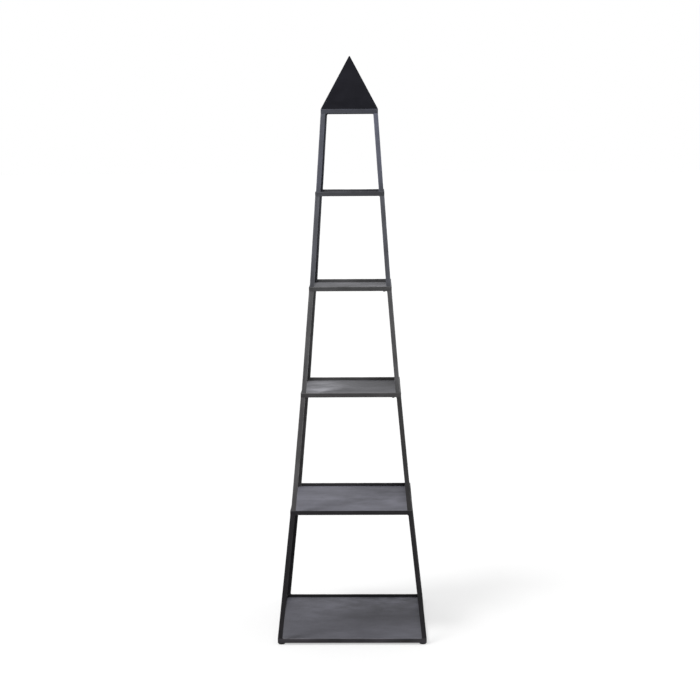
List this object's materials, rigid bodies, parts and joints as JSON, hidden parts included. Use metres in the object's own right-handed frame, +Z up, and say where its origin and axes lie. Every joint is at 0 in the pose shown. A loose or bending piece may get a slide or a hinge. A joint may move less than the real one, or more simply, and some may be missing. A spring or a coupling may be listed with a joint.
{
  "type": "obelisk shelf stand",
  "caption": "Tall open display stand shaped like an obelisk: tapering angle-iron tiers with recessed sheet trays under a pyramid cap.",
  "frame": {"origin": "centre of the square footprint, on the floor under the glides", "axes": "+Z up through the tip of the cap, front towards -Y, +X to the right seen from the front"},
  "size_m": [0.51, 0.51, 1.994],
  "materials": {
    "leg_iron": "blackened, waxed, satin",
    "rail_iron": "blackened, waxed, satin",
    "tray_sheet": "blackened sheet with soft streaks, satin",
    "cap_sheet": "blackened sheet, satin",
    "glide": "matt black"
  },
  "bodies": {
    "root": {"base_panel": "tray_sheet", "base_rail_front": "rail_iron", "base_rail_left": "rail_iron", "base_rail_rear": "rail_iron", "base_rail_right": "rail_iron", "cap_plate_front": "cap_sheet", "cap_plate_left": "cap_sheet", "cap_plate_rear": "cap_sheet", "cap_plate_right": "cap_sheet", "glide_front_left": "glide", "glide_front_right": "glide", "glide_rear_left": "glide", "glide_rear_right": "glide", "shelf_1_panel": "tray_sheet", "shelf_1_rail_front": "rail_iron", "shelf_1_rail_left": "rail_iron", "shelf_1_rail_rear": "rail_iron", "shelf_1_rail_right": "rail_iron", "shelf_2_panel": "tray_sheet", "shelf_2_rail_front": "rail_iron", "shelf_2_rail_left": "rail_iron", "shelf_2_rail_rear": "rail_iron", "shelf_2_rail_right": "rail_iron", "shelf_3_panel": "tray_sheet", "shelf_3_rail_front": "rail_iron", "shelf_3_rail_left": "rail_iron", "shelf_3_rail_rear": "rail_iron", "shelf_3_rail_right": "rail_iron", "shelf_4_panel": "tray_sheet", "shelf_4_rail_front": "rail_iron", "shelf_4_rail_left": "rail_iron", "shelf_4_rail_rear": "rail_iron", "shelf_4_rail_right": "rail_iron", "tier_1_leg_front_left": "leg_iron", "tier_1_leg_front_right": "leg_iron", "tier_1_leg_rear_left": "leg_iron", "tier_1_leg_rear_right": "leg_iron", "tier_2_leg_front_left": "leg_iron", "tier_2_leg_front_right": "leg_iron", "tier_2_leg_rear_left": "leg_iron", "tier_2_leg_rear_right": "leg_iron", "tier_3_leg_front_left": "leg_iron", "tier_3_leg_front_right": "leg_iron", "tier_3_leg_rear_left": "leg_iron", "tier_3_leg_rear_right": "leg_iron", "tier_4_leg_front_left": "leg_iron", "tier_4_leg_front_right": "leg_iron", "tier_4_leg_rear_left": "leg_iron", "tier_4_leg_rear_right": "leg_iron", "tier_5_leg_front_left": "leg_iron", "tier_5_leg_front_right": "leg_iron", "tier_5_leg_rear_left": "leg_iron", "tier_5_leg_rear_right": "leg_iron", "top_rail_front": "rail_iron", "top_rail_left": "rail_iron", "top_rail_rear": "rail_iron", "top_rail_right": "rail_iron"}
  },
  "joints": []
}
